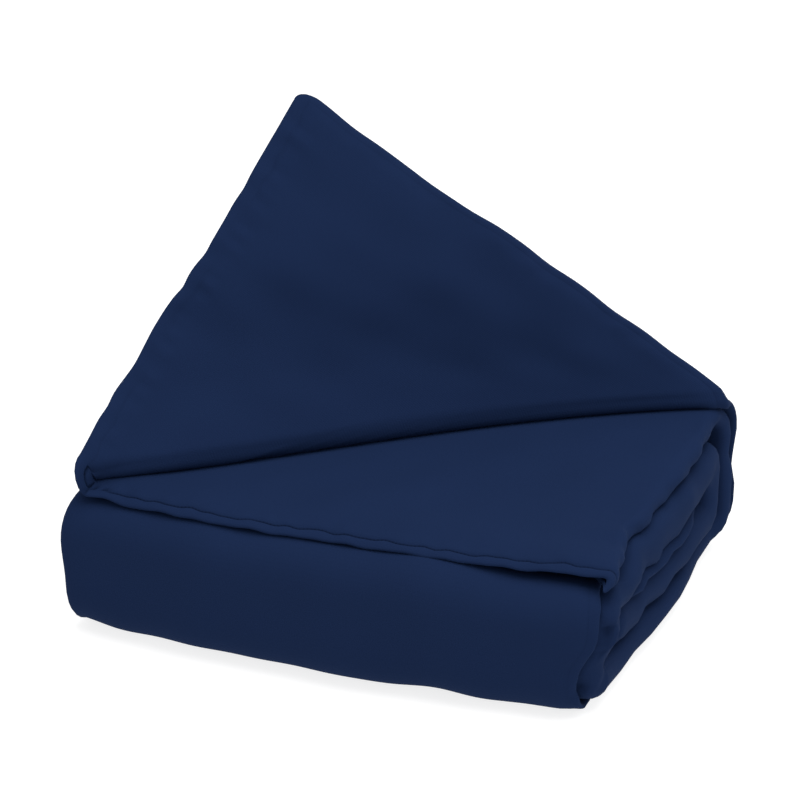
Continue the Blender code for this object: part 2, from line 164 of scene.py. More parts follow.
# The front fold is fuller than the layers behind it and lifts the second pass, and the third a
# little. The lift eases in just before the start of each row of ROLL that it changes at.
FRONT_LIFT = 17.0
FRONT_LIFT_RIGHT = 11.0
LIFT_SIDE = (330.0, 385.0)
LIFT_BACK = (35.0, 78.0)
LIFT_ALONG = (("front", -0.6), ("front", 1.6))
THIRD_PASS_LIFT = 6.0
THIRD_PASS_LIFT_BACK = (60.0, 120.0)
EASE_BEFORE, EASE_AFTER = 25.0, 1.0

# Layer 2's front hem sinks a little away from layer 1's, and its flange more, but less near
# either end.
HEM_DROOP = 3.0
HEM_DROOP_RUN = 40.0
FLANGE_DROP = 2.5
FLANGE_DROP_RUN = 11.0
DROOP_LEFT = (0.0, 60.0)
DROOP_RIGHT = (360.0, 450.0)
DROOP_LOST_RIGHT = 0.65
DROOP_ALONG = (200.0, 286.0)

# How far back layer 2's front hem lies, as steps along it from the left.
HEM_BACK = (
    # start, end, change
    (-5.0, 30.0, 7.0),
    (100.0, 260.0, 5.0),
    (400.0, 445.0, -4.0),
)

# The front fold bows forward in the middle of its width.
FRONT_BOW = 18.0
BOW_DEPTH = 260.0
BOW_CENTRE = 200.0
BOW_HALF_WIDTH = 250.0
BOW_TOP = (140.0, 200.0)

# Near the left end of the front hem the thin edges of layers 1 and 2 lie closer together.
HEM_PINCH = 2.2
HEM_PINCH_RUN = 30.0
HEM_PINCH_SIDE = (20.0, 90.0)

# Layer 1's front hem: the corner's radius, how far it lies back, and where it is drawn in more.
CORNER_RADIUS = 14.0
HEM_SETBACK = 2.5
HEM_DRAWN_IN = 4.0
DRAWN_IN_SIDE = (40.0, 170.0, 330.0)
HEM_CURVE_DEPTH = 60.0

# Under the top layers, the front hem of layers 3 and 4 stays back from the front.
INNER_HEM_RECESS = 75.0
INNER_HEM_SIDE = (385.0, 450.0)

# The turned-up corner: the crease line on the top layer, the bend and the peak.
CREASE_LEFT = (0.0, 34.0)
CREASE_RIGHT = (466.0, 318.0)
BEND_RADIUS = 9.0
PEAK = (104.0, 240.0, 411.0)
BENT_LAST = ("back", 0.5)

# The crease isn't straight: it bows back past its middle, by this much at most.
CREASE_BOW = 28.0
CREASE_BOW_ALONG = (-0.05, 0.6, 1.35)
CREASE_BOW_FADE = (0.0, 180.0)

# The top layers lie higher towards the back right.
BACK_RISE = 9.0
BACK_RISE_SIDE = (150.0, 430.0)
BACK_RISE_DEPTH = (110.0, 310.0)
BACK_RISE_ALONG = (325.0, 400.0)

# Mesh lines across the roll on the top pass: where each lies along the roll at the left fold,
# at the free edge of layer 1 and on the other layers, and the cells up to it from the one
# before. The hem's own lines come first. They fan out from the left and follow the crease.
HEM_AT_LEFT = 6.0
TOP_LINES = (
    # at the left fold, at the free edge, elsewhere, cells
    (7.0, 95.0, 45.0, 14),
    (7.5, 190.0, 80.0, 17),
    (8.0, 284.0, 110.0, 17),
    (11.5, 288.5, 135.0, 2),
    (15.0, 293.0, 160.0, 2),
    (18.5, 297.5, 185.0, 2),
    (22.0, 302.0, 210.0, 2),
    (25.5, 306.0, 240.0, 3),
    (90.0, 310.0, 270.0, 10),
    (190.0, 314.0, 285.0, 12),
    (300.0, 318.0, 300.0, 13),
    (309.4, 322.0, 309.4, 2),
    (318.9, 326.5, 318.9, 2),
    (328.3, 332.0, 328.3, 2),
)

# On layer 2 the lines fan out over this width from the left fold. The sideways place of a line
# along the roll, which the fan goes by, is the one at this length along the roll.
FAN_WIDTH = 30.0
TOP_MIDDLE = 100.0

# Mesh lines across the rest of the roll: steps on each run and each turn, and the room that they
# leave before the last hem's own lines.
RUN_STEPS = {"back": 4, "bottom pass": 8, "front": 5, "second pass": 14, "third pass": 8}
TURN_STEPS = {"back": 6, "bottom pass": 8, "front": 8, "second pass": 8}
LINE_CLEARANCE = 1.0

# Mesh lines along the roll: cells on each piece of the pleat.
PLEAT_CELLS = (
    ("layer 1", 84),
    ("fold 1-2", 8),
    ("layer 2", 104),
    ("fold 2-3", 10),
    ("layer 3", 16),
    ("fold 3-4", 4),
    ("layer 4", 10),
)

# Uneven hem and filling, as sums of soft waves: (wavelength, size, phase). The puckers lie inside
# the seam, and the ruffle fades out from the edge.
PUCKER_WAVES = ((23.0, 0.45, 1.0), (17.0, 0.35, 3.3), (31.0, 0.3, 5.1))
PUCKER_AT, PUCKER_WIDTH = 12.0, 6.0
RUFFLE_WAVES = ((43.0, 0.5, 0.2), (27.0, 0.35, 2.6), (71.0, 0.4, 4.4))
RUFFLE_RUN = 14.0
LUMP_WAVES = (
    # wavelength along x, wavelength along the roll, size, phase
    (170.0, 240.0, 0.8, 0.3),
    (110.0, -150.0, 0.6, 1.9),
    (-85.0, 95.0, 0.35, 4.2),
    (64.0, 300.0, 0.3, 2.7),
    (300.0, 58.0, 0.3, 5.5),
)

# How far in front of the crease the lumps show in full on the faces that the flap lays open.
FLAP_SHOWN = (0.0, 30.0)

# The right-hand folds: the power of their round, and how much squarer it is along the second
# pass, how much fuller they are, and their wrinkles.
FOLD_SQUARE, FOLD_SQUARER = 0.6, 0.25
SQUARER_ALONG = (("front", 1.0), ("second pass", 0.5), ("third pass", 0.0))
FOLD_FULLNESS = 0.8
FOLD_RIPPLES = (
    # wavelength along the roll, twist across the fold, size, phase
    (61.0, 0.5, 0.8, 0.7),
    (37.0, -0.7, 0.6, 2.2),
    (23.0, 0.9, 0.35, 4.9),
)

# The seam on the front hem isn't quite straight: (wavelength, size, phase).
SEAM_WAVES = ((29.0, 0.6, 0.5), (17.0, 0.3, 2.0), (53.0, 0.5, 3.9))

# The seam's painted shade, a darker line that stands in for the shadow in its stitched groove:
# half its width, and its strength where the groove hardly shows. Along layer 1's free edge the
# groove is lost between these places along the roll.
SEAM_SHADE_HALF = 1.0
SEAM_INNER_SHADE = 0.12
GROOVE_LOST = (200.0, 260.0)

# Layer 4's free edge swells into the space under the second pass's fold.
EDGE_SWELL = 4.5
EDGE_SWELL_DEPTH = (0.0, 6.0, 24.0)
EDGE_SWELL_ALONG = (("second pass", 0.0), ("second pass", 0.5), ("second pass", 1.1))

# In the crease, layer 1's inner face swells towards layer 2.
CREASE_FILL = 4.0

# The right-hand side is crumpled: shifts in x and z, as sums of waves over y and z, and hollows
# where the layers are crushed together. It grows over SIDE in x and ends at TOP in z. The waves
# end at BACK in y, and their shift in z grows over FOOT in z.
CRUMPLE_SIDE = (385.0, 440.0)
CRUMPLE_TOP = (128.0, 150.0)
CRUMPLE_FOOT = (8.0, 50.0)
CRUMPLE_BACK = (285.0, 325.0)
CRUMPLE_X = (
    # wavelength along y, wavelength along z, size, phase
    (44.0, 90.0, 0.7, 0.4),
    (27.0, -38.0, 0.5, 2.9),
    (71.0, 260.0, 0.6, 5.2),
)
CRUMPLE_Z = (
    (52.0, 110.0, 0.9, 1.3),
    (31.0, -60.0, 0.6, 4.4),
)
DENTS = (
    # place in x, y and z, radius, shift in x, shift in y
    (456.0, 52.0, 104.0, 6.0, -8.0, 5.0),
    (454.0, 13.0, 83.0, 5.5, -8.0, 10.0),
    (459.0, 26.0, 88.0, 5.0, -6.0, 5.0),
    (448.0, 12.0, 66.0, 5.0, -3.0, 4.0),
    (434.0, 9.0, 32.0, 7.0, -5.0, 8.0),
    (458.0, 348.0, 76.0, 5.0, -5.0, 0.0),
    (457.0, 300.0, 88.0, 8.0, -3.0, 0.0),
    (446.0, 16.0, 106.0, 8.0, 3.0, -3.0),
)

# Photograph's view, in the frame, from a camera with no roll.
CAMERA_AZIMUTH, CAMERA_ELEVATION = 20.89, 25.31
CAMERA_DISTANCE = 3.0
CAMERA_TARGET = (0.0046, -0.0190, 0.1865)
CAMERA_LENS, CAMERA_SENSOR = 164.9, 36.0
CAMERA_CLIP = (0.05, 50.0)

# The cloth's two tones, as stops of a ramp, and what mixes them.
TONES = (
    # place on the ramp, colour
    (0.25, (0.0069, 0.0148, 0.0446, 1.0)),
    (0.75, (0.0078, 0.0166, 0.0502, 1.0)),
)
FIBRE_SCALE, FIBRE_DETAIL, FIBRE_SHARE = 900.0, 3.0, 0.4
PATCH_SCALE, PATCH_DETAIL, PATCH_SHARE = 9.0, 2.0, 0.6

# The cloth's weave, roughness and sheen.
THREAD_SCALE, THREAD_WOBBLE = 160.0, 1.2
BUMP_STRENGTH, BUMP_DISTANCE = 0.15, 0.0004
ROUGH_LEAST, ROUGH_SPREAD = 0.88, 0.1
SPECULAR = 0.02
SHEEN_WEIGHT, SHEEN_ROUGHNESS = 0.02, 0.6
SHEEN_TINT = (0.15, 0.35, 0.9, 1.0)

# The seam: its colours, which are the painted shadow of the groove between stitches and the navy
# thread darkened by the groove's painted shade, a stitch's length in metres, the level of its sine
# wave below which there is a gap between two stitches, and how far the thread stands up in the
# bump.
SEAM_GROOVE_SHADE = (0.0012, 0.0028, 0.0090, 1.0)
THREAD_IN_SHADE = (0.0025, 0.0057, 0.0185, 1.0)
STITCH_PITCH, STITCH_GAP, STITCH_BUMP = 0.0032, -0.6, 1.5

# The surroundings.
WHITE = (1.0, 1.0, 1.0, 1.0)
WORLD_STRENGTH = 0.70
FLOOR_COLOUR = (0.35, 0.35, 0.35, 1.0)
FLOOR_GLOW = 0.8
FLOOR_HALF = 8.0
LIGHTS = (
    # name, place, size, power
    ("overhead", (0.5, -0.3, 3.0), 3.0, 90.0),
    ("right", (2.2, -0.4, 1.5), 2.0, 9.0),
)

# Short steps along and across the cloth, for its normals.
NORMAL_STEP = 0.05
NORMAL_FRACTION = 0.001


def smooth(value, start, end):
    """0 before start, 1 past end, and a soft S between them."""
    part = np.clip((value - start) / (end - start), 0.0, 1.0)
    return part * part * (3.0 - 2.0 * part)


def hump(value, start, middle, end):
    """0 at start and end, 1 in the middle, and soft between them."""
    return smooth(value, start, middle) * (1.0 - smooth(value, middle, end))


def roll_stations():
    """For each row of ROLL: the length, point and heading at its start."""
    stations = {}
    length, y, z, heading = 0.0, HEM_Y, TOP_PASS_Z, 0.0
    for name, run, radius, turn in ROLL:
        stations[name] = (length, y, z, heading, run, radius, turn)
        y += run * np.cos(heading)
        z += run * np.sin(heading)
        centre_y = y + radius * np.sin(heading)
        centre_z = z - radius * np.cos(heading)
        heading -= turn
        y = centre_y - radius * np.sin(heading)
        z = centre_z + radius * np.cos(heading)
        length += run + radius * turn
    return stations, length


STATIONS, ROLL_LENGTH = roll_stations()


def along(place):
    """The length along the roll at a place: a row of ROLL and a fraction of its run."""
    name, fraction = place
    start = STATIONS[name]
    return start[0] + fraction * start[4]


def roll_point(length):
    """Point on the middle of the bundle, and the outward direction there."""
    y = np.zeros_like(length)
    z = np.zeros_like(length)
    heading = np.zeros_like(length)
    for start, y0, z0, heading0, run, radius, turn in STATIONS.values():
        here = (length >= start) | (start == 0.0)
        ahead = length - start
        straight = np.minimum(ahead, run)
        angle = np.clip((ahead - run) / radius, 0.0, turn) if radius else 0.0 * ahead
        y1 = y0 + straight * np.cos(heading0) + radius * np.sin(heading0)
        z1 = z0 + straight * np.sin(heading0) - radius * np.cos(heading0)
        new_heading = heading0 - angle
        y = np.where(here, y1 - radius * np.sin(new_heading), y)
        z = np.where(here, z1 + radius * np.cos(new_heading), z)
        heading = np.where(here, new_heading, heading)
    return y, z, -np.sin(heading), np.cos(heading)


def pleat_value(column, length):
    """A column of PLEATS at a length along the roll, eased from row to row."""
    index = PLEAT_COLUMNS.index(column)
    places = [along(row[0]) for row in PLEATS]
    values = [row[index] for row in PLEATS]
    result = np.full_like(length, values[0])
    for k in range(len(PLEATS) - 1):
        step = smooth(length, places[k], places[k + 1])
        result = result + (values[k + 1] - values[k]) * step
    return result


def edge_tuck(length, column):
    """How far the stitching draws in an edge at a length along the roll."""
    return sum(row[column] * np.exp(-(((length - row[0]) / row[1]) ** 2)) for row in EDGE_TUCKS)


def hem_tuck(x):
    """How far the stitching draws in layer 1's front hem at a place along it."""
    return sum(depth * np.exp(-(((x - place) / half) ** 2)) for place, half, depth in HEM_TUCKS)


def pleat_point(piece, t, length):
    """Sideways place and offset from the bundle's middle, on one piece of the pleat."""
    fold = LAYER_PITCH / 2
    left = pleat_value("left", length) + fold + CLOTH_THICKNESS / 2
    out = pleat_value("out", length)
    inward = pleat_value("in", length)
    radius = (out - inward) / 2
    middle = (out + inward) / 2
    right = pleat_value("reach", length) - radius - CLOTH_THICKNESS / 2
    right = right - edge_tuck(length, 3)
    if piece == "layer 1":
        edge = pleat_value("edge_1", length) - edge_tuck(length, 2)
        return edge + (left - edge) * t, LAYER_1_OFFSET + 0.0 * length
    if piece == "fold 1-2":
        return left - fold * np.sin(pi * t), 2 * fold + fold * np.cos(pi * t)
    if piece == "layer 2":
        x = left + (right - left) * t
        return x, fold + (out - fold) * smooth(x, right - PUFF_RUN, right)
    if piece == "fold 2-3":
        power = FOLD_SQUARE - FOLD_SQUARER * hump(length, *map(along, SQUARER_ALONG))
        return right + radius * np.sin(pi * t) ** power, middle + radius * np.cos(pi * t)
    if piece == "layer 3":
        x = right + (left - right) * t
        return x, -fold + (inward + fold) * smooth(x, right - PUFF_RUN, right)
    if piece == "fold 3-4":
        return left - fold * np.sin(pi * t), -2 * fold + fold * np.cos(pi * t)
    edge = pleat_value("edge_4", length)
    return left + (edge - left) * t, -3 * fold + 0.0 * length


def inner_hem(piece, x):
    """How far back the front hem of an inner layer starts."""
    if piece == "layer 3":
        return INNER_HEM_RECESS * (1.0 - smooth(x, *INNER_HEM_SIDE))
    if piece in ("fold 3-4", "layer 4"):
        return INNER_HEM_RECESS + 0.0 * x
    return 0.0 * x


def front_lift(x, y, length):
    """Height that the full front fold adds to the front of the second and third pass."""
    most = FRONT_LIFT + (FRONT_LIFT_RIGHT - FRONT_LIFT) * smooth(x, *LIFT_SIDE)
    rise = smooth(length, *map(along, LIFT_ALONG))
    second = most * rise * (1.0 - smooth(y, *LIFT_BACK) * smooth(length, *span("second pass")))
    third = THIRD_PASS_LIFT * (1.0 - smooth(y, *THIRD_PASS_LIFT_BACK))
    share = smooth(length, *span("third pass"))
    on_top = smooth(length, *span("front"))
    return (second * (1.0 - share) + third * share) * on_top


def bow(x, y):
    """Forward shift of the front of the stack, fading out towards the back."""
    across = np.clip((x - BOW_CENTRE) / BOW_HALF_WIDTH, -1.0, 1.0)
    return FRONT_BOW * (1.0 - across**2) * (1.0 - smooth(y, 0.0, BOW_DEPTH))


def round_corner(x, length):
    """Rounds the corner of layer 1 at the front hem."""
    edge = pleat_value("edge_1", length)
    side = np.clip((CORNER_RADIUS - (edge - x)) / CORNER_RADIUS, 0.0, 1.0)
    front = np.clip((CORNER_RADIUS - length) / CORNER_RADIUS, 0.0, 1.0)
    pull_side = CORNER_RADIUS * side * (1.0 - np.sqrt(1.0 - front**2 / 2))
    pull_front = CORNER_RADIUS * front * (1.0 - np.sqrt(1.0 - side**2 / 2))
    return pull_side, pull_front


def hem_curve(x, length):
    """How far layer 1's front hem lies back at a place along it, fading out into the cloth."""
    fade = 1.0 - smooth(length, 0.0, HEM_CURVE_DEPTH)
    return (HEM_SETBACK + HEM_DRAWN_IN * hump(x, *DRAWN_IN_SIDE) + hem_tuck(x)) * fade


def hem_back(x, length):
    """How far layer 2's front hem lies back at a place along it, fading out into the cloth."""
    back = sum(change * smooth(x, start, end) for start, end, change in HEM_BACK)
    return back * (1.0 - smooth(length, 0.0, HEM_CURVE_DEPTH))


def span(name):
    """A short stretch about the start of a row of ROLL, for easing from one to the next."""
    start = STATIONS[name][0]
    return start - EASE_BEFORE, start + EASE_AFTER


def crease_frame():
    """Start, direction and front-right normal of the crease line, seen from above."""
    start = np.array(CREASE_LEFT)
    run = np.array(CREASE_RIGHT) - start
    run /= np.linalg.norm(run)
    return start, run, np.array((run[1], -run[0]))


def crease_place(x, y):
    """Distances along the straight crease line and in front of it, seen from above."""
    start, run, ahead = crease_frame()
    from_x, from_y = x - start[0], y - start[1]
    return from_x * run[0] + from_y * run[1], from_x * ahead[0] + from_y * ahead[1]


def crease_bow(s):
    """How far back of its straight line the crease lies, at a distance along it."""
    whole = np.hypot(CREASE_RIGHT[0] - CREASE_LEFT[0], CREASE_RIGHT[1] - CREASE_LEFT[1])
    return CREASE_BOW * hump(s / whole, *CREASE_BOW_ALONG)


def back_rise(piece, x, y, length):
    """Height of the top layers above level. A place on the flap rises with the crease below it."""
    ahead = crease_frame()[2]
    past = np.maximum(crease_place(x, y)[1], 0.0) * (piece == "layer 1")
    rise = smooth(x - past * ahead[0], *BACK_RISE_SIDE)
    rise = rise * smooth(y - past * ahead[1], *BACK_RISE_DEPTH)
    return BACK_RISE * rise * (1.0 - smooth(length, *BACK_RISE_ALONG))


def turn_up_corner(x, y, z, weight):
    """Bends layer 1 up along the crease, and leans the flap so that its corner is the peak."""
    start, run, ahead = crease_frame()
    base_z = TOP_PASS_Z + LAYER_1_OFFSET
    corner = np.array((PLEATS[0][1], HEM_Y)) - start
    peak = np.array(PEAK[:2]) - start
    peak_out = peak @ ahead
    peak_up = PEAK[2] - base_z - BEND_RADIUS
    flap_height = np.sqrt(peak_out**2 + peak_up**2 - BEND_RADIUS**2)
    angle = np.arctan2(peak_up, peak_out) + np.arctan2(BEND_RADIUS, flap_height)
    flat_height = corner @ ahead - BEND_RADIUS * angle
    stretch = flap_height / flat_height
    lean = (peak @ run - corner @ run) / flat_height

    s, d = crease_place(x, y)
    back = crease_bow(s)
    d = d + back
    h = z - base_z
    turned = angle * weight
    theta = np.minimum(np.maximum(d, 0.0) / BEND_RADIUS, turned)
    past = np.maximum(d - BEND_RADIUS * turned, 0.0)
    straight = smooth(past, *CREASE_BOW_FADE)
    past = past - back * straight
    reach = BEND_RADIUS - h
    grow = 1.0 + (stretch - 1.0) * weight
    out = reach * np.sin(theta) + grow * past * np.cos(theta) + np.minimum(d, 0.0)
    up = BEND_RADIUS - reach * np.cos(theta) + grow * past * np.sin(theta)
    s = s + lean * past * weight
    out = out - back * (1.0 - straight)
    return (
        start[0] + s * run[0] + out * ahead[0],
        start[1] + s * run[1] + out * ahead[1],
        base_z + up,
    )


def cloth_point(piece, t, length):
    """A point of the cloth's middle surface, for arrays t and length."""
    x, offset = pleat_point(piece, t, length)
    if piece == "layer 1":
        pull_side, pull_front = round_corner(x, length)
        length = length + pull_front + hem_curve(x, length)
        x = x - pull_side
    along_fold = smooth(t, 0.0, 1.0)
    share = {"layer 2": 1.0, "fold 1-2": along_fold, "fold 2-3": 1.0 - along_fold}
    back = hem_back(x, length) * share.get(piece, 0.0)
    if piece == "fold 1-2":
        length = length + hem_curve(x, length) * (1.0 - along_fold)
    length = length + back
    pinch = HEM_PINCH * (1.0 - smooth(length, 0.0, HEM_PINCH_RUN))
    pinch = pinch * (1.0 - smooth(x, *HEM_PINCH_SIDE))
    offset = offset - pinch * (offset + LAYER_PITCH) / LAYER_PITCH * (offset > -LAYER_PITCH)
    y, z, out_y, out_z = roll_point(length)
    y = y + offset * out_y
    z = z + offset * out_z
    z = z + front_lift(x, y, length)
    on_top = 1.0 - smooth(length, *DROOP_ALONG)
    if piece in ("layer 2", "fold 2-3", "fold 1-2"):
        from_hem = y - HEM_Y - back
        droop = HEM_DROOP * (1.0 - smooth(from_hem, 0.0, HEM_DROOP_RUN))
        droop = droop + FLANGE_DROP * (1.0 - smooth(from_hem, 0.0, FLANGE_DROP_RUN))
        ends = smooth(x, *DROOP_LEFT) * (1.0 - DROOP_LOST_RIGHT * smooth(x, *DROOP_RIGHT))
        z = z - droop * on_top * ends
    level_x, level_y = x, y
    if piece in ("layer 1", "fold 1-2"):
        weight = 1.0 - along_fold if piece == "fold 1-2" else 1.0 + 0.0 * t
        bent = turn_up_corner(x, y, z, weight)
        top = length < along(BENT_LAST)
        x, y, z = (np.where(top, new, old) for new, old in zip(bent, (x, y, z)))
    z = z + back_rise(piece, level_x, level_y, length)
    y = y - bow(x, y) * (1.0 - smooth(z, *BOW_TOP))
    return np.stack((x, y, z), axis=-1)


def waves(place, table):
    """A sum of soft waves at places along a line."""
    return sum(size * np.sin(2 * pi * place / length + phase) for length, size, phase in table)


def lumps(across, along_roll):
    """Soft unevenness of the filling over the flat cloth."""
    total = 0.0
    for wave_x, wave_l, size, phase in LUMP_WAVES:
        total = total + size * np.sin(2 * pi * (across / wave_x + along_roll / wave_l) + phase)
    return total


def roll_lines():
    """Lengths of the mesh lines past the top pass's own lines, to the last hem."""
    lines = []
    for name, run, radius, turn in ROLL[1:]:
        start = STATIONS[name][0]
        steps = RUN_STEPS[name]
        lines += [start + run * k / steps for k in range(steps)]
        if radius:
            steps = TURN_STEPS[name]
            lines += [start + run + radius * turn * k / steps for k in range(steps)]
    last = ROLL_LENGTH - HEM_LINES[-1]
    lines = [line for line in lines if line < last - LINE_CLEARANCE]
    return lines + [ROLL_LENGTH - inset for inset in reversed(HEM_LINES)]


def top_lines():
    """The fine mesh lines of the top pass, as rows of the three columns of TOP_LINES."""
    squeeze = HEM_AT_LEFT / HEM_LINES[-1]
    rows = [(inset * squeeze, inset, inset) for inset in HEM_LINES]
    for *line, cells in TOP_LINES:
        before = np.array(rows[-1])
        step = (np.array(line) - before) / cells
        rows += [tuple(before + step * (k + 1)) for k in range(cells)]
    return np.array(rows)


def line_lengths(piece, x, lines):
    """Length along the roll of every mesh line at a sideways place on a piece."""
    at_left, at_edge, elsewhere = top_lines().T
    if piece == "layer 1":
        share = (x / PLEATS[0][1])[:, None]
        first = at_left + (at_edge - at_left) * share
    elif piece == "fold 1-2":
        first = at_left + 0.0 * x[:, None]
    elif piece == "layer 2":
        first = at_left + (elsewhere - at_left) * smooth(x, 0.0, FAN_WIDTH)[:, None]
    else:
        hem = inner_hem(piece, x)[:, None]
        last = STATIONS["top pass"][4]
        squeeze = np.where(elsewhere < last, 1.0 - elsewhere / last, 0.0)
        first = elsewhere + hem * squeeze
    rest = np.array(lines) + 0.0 * x[:, None]
    return np.concatenate((first, rest), axis=1)


def pleat_rows():
    """Every mesh line along the roll, as a piece of the pleat and a fraction of it."""
    insets = [inset / LAYER_WIDTH for inset in HEM_LINES]
    for piece, cells in PLEAT_CELLS:
        if piece == "layer 1":
            rest = 1.0 - insets[-1]
            fractions = insets + [insets[-1] + rest * (k + 1) / cells for k in range(cells)]
        elif piece == "layer 4":
            rest = 1.0 - insets[-1]
            fractions = [rest * k / cells for k in range(cells)]
            fractions += [1.0 - inset for inset in reversed(insets)]
        elif piece.startswith("fold"):
            fractions = [k / cells for k in range(1, cells)]
        else:
            fractions = [k / cells for k in range(cells + 1)]
        for fraction in fractions:
            yield piece, fraction


def edge_distance(piece, x, length):
    """Distance from a point of the cloth to its nearest stitched edge."""
    ends = np.minimum(length - inner_hem(piece, x[:1]), ROLL_LENGTH - length)
    if piece == "layer 1":
        return np.minimum(ends, pleat_value("edge_1", length) - edge_tuck(length, 2) - x)
    if piece == "layer 4":
        return np.minimum(ends, pleat_value("edge_4", length) - x)
    return ends


def flat_place(piece, t):
    """Distance across the flat cloth from layer 1's free edge."""
    fold_length = pi * LAYER_PITCH / 2
    order = [name for name, _ in PLEAT_CELLS]
    before = order.index(piece)
    done = sum(fold_length if name.startswith("fold") else LAYER_WIDTH for name in order[:before])
    return done + t * (fold_length if piece.startswith("fold") else LAYER_WIDTH)


def normal_at(piece, t, length):
    """Unit normal of the middle surface, from short steps along and across the cloth."""
    low_t, high_t = np.clip(t - NORMAL_FRACTION, 0, 1), np.clip(t + NORMAL_FRACTION, 0, 1)
    low_l = np.maximum(length - NORMAL_STEP, 0.0)
    high_l = np.minimum(length + NORMAL_STEP, ROLL_LENGTH)
    across = cloth_point(piece, high_t, length) - cloth_point(piece, low_t, length)
    forward = cloth_point(piece, t, high_l) - cloth_point(piece, t, low_l)
    normal = np.cross(across, forward)
    return normal / np.linalg.norm(normal, axis=-1, keepdims=True)


def faces_at(piece, x, length, distance, on_side):
    """Distances of both faces from the middle surface, and the painted shade of the seam's groove
    on each of them.
    """
    inset, thick, plain = np.array(HEM_PROFILE).T
    deep = np.interp(distance, inset, thick) / 2
    shallow = np.interp(distance, inset, plain) / 2
    # The seam's painted shade: strongest on the stitch line, standing in for the shadow in its
    # groove, and faint where the groove hardly shows.
    groove_shade = np.clip(1.0 - np.abs(distance - SEAM_INSET) / SEAM_SHADE_HALF, 0.0, 1.0)
    faint_groove_shade = groove_shade * SEAM_INNER_SHADE
    if piece == "layer 1":
        lost = smooth(length, *GROOVE_LOST) * on_side
        rise = shallow + CREASE_FILL * np.sin(2 * crease_turn(x, length)) ** 2
        fall = deep + (shallow - deep) * lost
        return rise, fall, (faint_groove_shade, groove_shade * (1.0 - lost * (1.0 - SEAM_INNER_SHADE)))
    if piece == "layer 4":
        swell = EDGE_SWELL * hump(distance, *EDGE_SWELL_DEPTH)
        swell = swell * hump(length, *map(along, EDGE_SWELL_ALONG))
        return shallow + swell, shallow, (faint_groove_shade, faint_groove_shade)
    return deep, deep, (groove_shade, groove_shade)


def cloth_grid():
    """Both faces of the cloth and its flat places, on the whole grid of mesh lines."""
    later_lines = roll_lines()
    upper, lower, flat = [], [], []
    for piece, fraction in pleat_rows():
        x_start = pleat_point(piece, fraction, np.array([TOP_MIDDLE]))[0]
        length = line_lengths(piece, x_start, later_lines)[0]
        t = np.full_like(length, fraction)
        x = pleat_point(piece, t, length)[0]
        across = flat_place(piece, t)
        distance = np.maximum(edge_distance(piece, x, length), 0.0)
        on_side = distance < np.minimum(length, ROLL_LENGTH - length) - SIDE_MARGIN
        seam_place = np.where(on_side, length, across)
        near = hump(distance, 0.0, SEAM_INSET, 2 * SEAM_INSET) * ~on_side
        length = length + waves(across, SEAM_WAVES) * near * (length < STATIONS["back"][0])
        point = cloth_point(piece, t, length)
        normal = normal_at(piece, t, length)
        # The last values are the mask of the seam groove's painted shade on the upper and lower
        # face.
        rise, fall, groove_shades = faces_at(piece, x, length, distance, on_side)
        shown = exposed(piece, x, length)
        pucker = waves(seam_place, PUCKER_WAVES)
        pucker = pucker * np.exp(-(((distance - PUCKER_AT) / PUCKER_WIDTH) ** 2))
        pucker = np.where(distance > 0, pucker, 0.0)
        uneven = lumps(across, length) * smooth(distance, 0.0, HEM_LINES[-1])
        rise = rise + pucker + uneven * shown[0]
        fall = fall + pucker + uneven * shown[1]
        if piece == "fold 2-3":
            rise = rise + fold_ripple(fraction, length)
        ruffle = waves(seam_place, RUFFLE_WAVES) * np.exp(-distance / RUFFLE_RUN)
        shift = ruffle * np.maximum(*shown)
        point = point + normal * shift[:, None]
        upper.append(crumple(point + normal * rise[:, None]))
        lower.append(crumple(point - normal * fall[:, None]))
        flat.append(np.stack((across, length, seam_place, *groove_shades), axis=-1))
    return np.array(upper), np.array(lower), np.array(flat)


def exposed(piece, x, length):
    """How far the upper and the lower face lie open, from 0 to 1."""
    before = crease_place(x, length + HEM_Y)[1]
    flap = smooth(before, *FLAP_SHOWN) * (length < along(BENT_LAST))
    if piece == "layer 1":
        return flap, 0.0 * x + 1.0
    if piece == "layer 2":
        return flap, 0.0 * x
    return 0.0 * x, 0.0 * x


def fold_ripple(t, length):
    """Soft slanting wrinkles and extra fullness on the right-hand folds, none at their ends."""
    total = FOLD_FULLNESS + 0.0 * length
    for wave, twist, size, phase in FOLD_RIPPLES:
        total = total + size * np.sin(2 * pi * (length / wave + twist * t) + phase)
    return total * np.sin(pi * t)


def crease_turn(x, length):
    """How far round the bend of the crease a place on layer 1 lies, up to a right angle."""
    s, d = crease_place(x, length + HEM_Y)
    turn = np.clip((d + crease_bow(s)) / BEND_RADIUS, 0.0, pi / 2)
    return turn * (length < along(BENT_LAST))


def crumple(point):
    """Shifts places on the crumpled right-hand side, the same for all layers that lie there."""
    x, y, z = point.T
    side = smooth(x, *CRUMPLE_SIDE) * (1.0 - smooth(z, *CRUMPLE_TOP))
    waved = 1.0 - smooth(y, *CRUMPLE_BACK)
    shift_x, shift_z = (
        waved * sum(size * np.sin(2 * pi * (y / wave_y + z / wave_z) + phase)
                    for wave_y, wave_z, size, phase in table)
        for table in (CRUMPLE_X, CRUMPLE_Z)
    )
    shift_y = 0.0 * y
    for *place, radius, most_x, most_y in DENTS:
        share = np.exp(-((np.linalg.norm(point - np.array(place), axis=-1) / radius) ** 2))
        shift_x = shift_x + most_x * share
        shift_y = shift_y + most_y * share
    shift_z = shift_z * smooth(z, *CRUMPLE_FOOT)
    return np.stack((x + side * shift_x, y + side * shift_y, z + side * shift_z), axis=-1)


